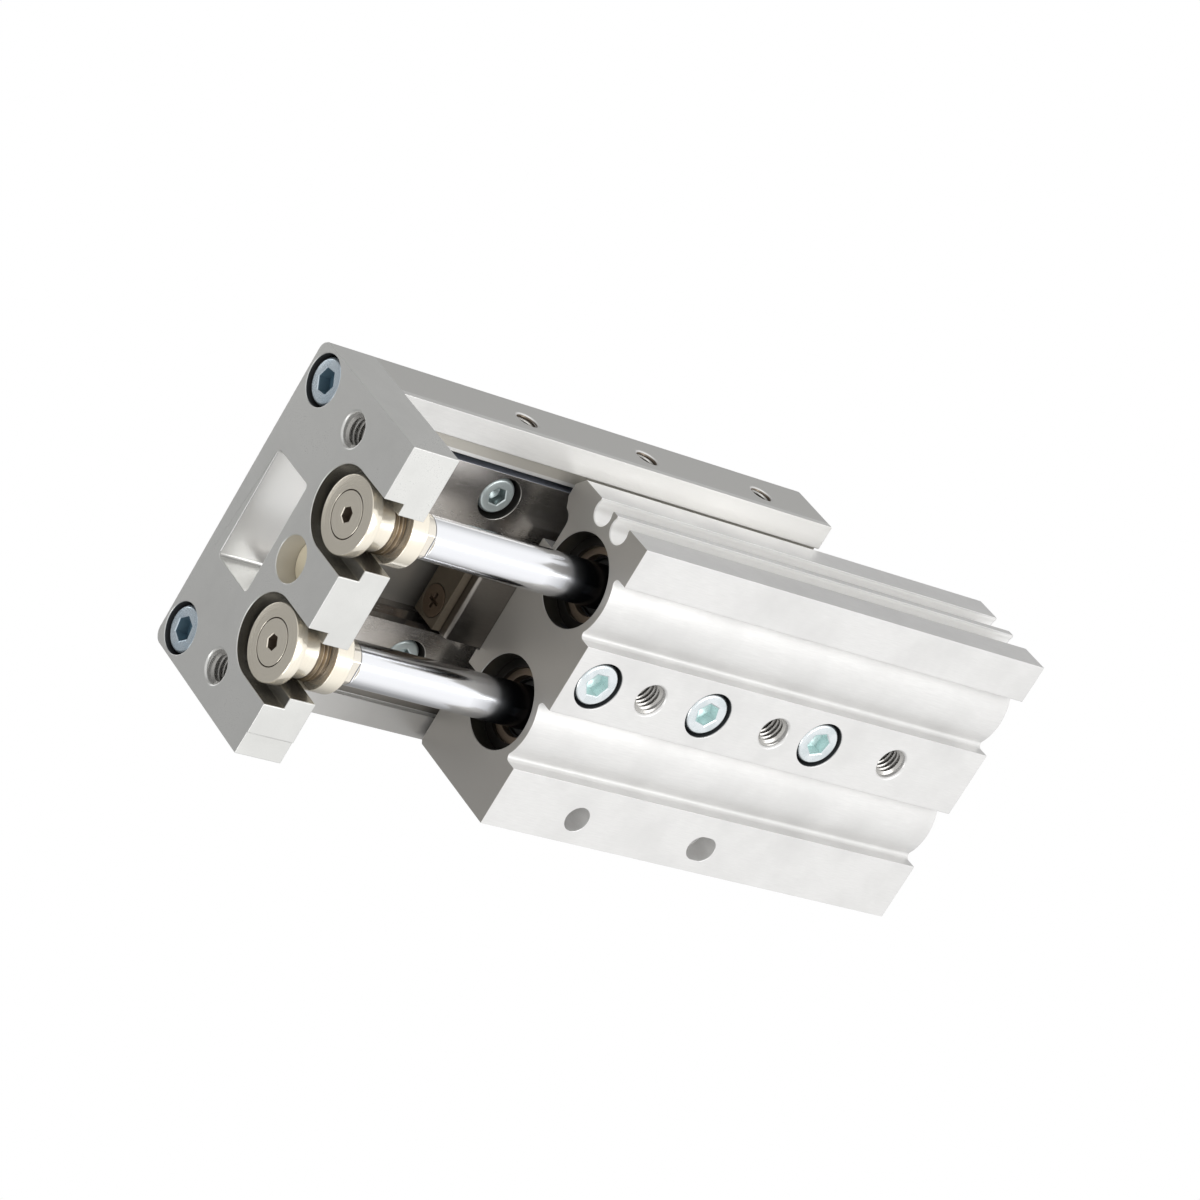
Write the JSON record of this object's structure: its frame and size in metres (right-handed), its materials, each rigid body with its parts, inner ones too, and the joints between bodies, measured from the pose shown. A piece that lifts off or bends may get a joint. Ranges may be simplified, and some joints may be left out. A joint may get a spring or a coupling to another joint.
{
  "type": "pneumatic slide table",
  "caption": "Pneumatic slide table with a grooved body, chrome rods, a crossed-roller guide, and a flat table with an end plate.",
  "frame": {"origin": "on the mounting face, in the plane of the body's front face and in the table's middle plane; table extended", "axes": "+X along the travel, towards the end plate; +Y towards the side with the switch grooves; +Z from the mounting face up to the table"},
  "size_m": [0.151, 0.062, 0.0398],
  "materials": {
    "housing": "clear anodised, fine extrusion lines",
    "table": "clear anodised, fine grain",
    "end_plate": "clear anodised, matt",
    "head_cap": "anodised",
    "piston": "turned",
    "guide_steel": "ground, dark",
    "rail_steel": "ground, oiled",
    "stop_steel": "brown-olive plated sheet",
    "stop_screw": "plated, dull",
    "guide_screw": "bright zinc",
    "plate_screw": "zinc, slightly blue",
    "rail_screw": "zinc, dull",
    "bush": "turned, nickel plated, warm",
    "rod": "hard chrome, ground",
    "rod_guide": "turned, brown",
    "seal": "matt black",
    "retaining_ring": "phosphated",
    "damper": "beige urethane",
    "magnet": "bonded magnet",
    "cage": "stamped",
    "roller": "ground steel"
  },
  "bodies": {
    "housing": {"body_housing": "housing", "guide_block": "guide_steel", "guide_block_screws": "guide_screw", "front_stop_plate": "stop_steel", "rear_stop_plate": "stop_steel", "stop_plate_screws": "stop_screw", "left_rod_guide": "rod_guide", "right_rod_guide": "rod_guide", "rod_seals": "seal", "rod_guide_o_rings": "seal", "front_retaining_rings": "retaining_ring", "left_head_cap": "head_cap", "right_head_cap": "head_cap", "head_cap_o_rings": "seal", "rear_retaining_rings": "retaining_ring"},
    "table": {"table_plate": "table", "end_plate": "end_plate", "end_plate_screws": "plate_screw", "left_rail": "rail_steel", "right_rail": "rail_steel", "rail_screws": "rail_screw", "left_piston_rod": "rod", "right_piston_rod": "rod", "left_floating_bush": "bush", "right_floating_bush": "bush", "left_rod_collar": "bush", "right_rod_collar": "bush", "left_piston": "piston", "right_piston": "piston", "piston_seals": "seal", "piston_magnets": "magnet", "end_damper": "damper"},
    "left_cage": {"left_roller_cage": "cage", "left_rollers": "roller"},
    "right_cage": {"right_roller_cage": "cage", "right_rollers": "roller"}
  },
  "joints": [
    {"name": "table_slide", "type": "slide", "parent": "housing", "child": "table", "axis": [1, 0, 0], "range_m": [-0.04, 0]},
    {"name": "left_cage_slide", "type": "slide", "parent": "housing", "child": "left_cage", "axis": [1, 0, 0], "range_m": [-0.02, 0]},
    {"name": "right_cage_slide", "type": "slide", "parent": "housing", "child": "right_cage", "axis": [1, 0, 0], "range_m": [-0.02, 0]}
  ],
  "couplings": [
    {"joint": "left_cage_slide", "follows": "table_slide", "ratio": 0.5},
    {"joint": "right_cage_slide", "follows": "table_slide", "ratio": 0.5}
  ]
}
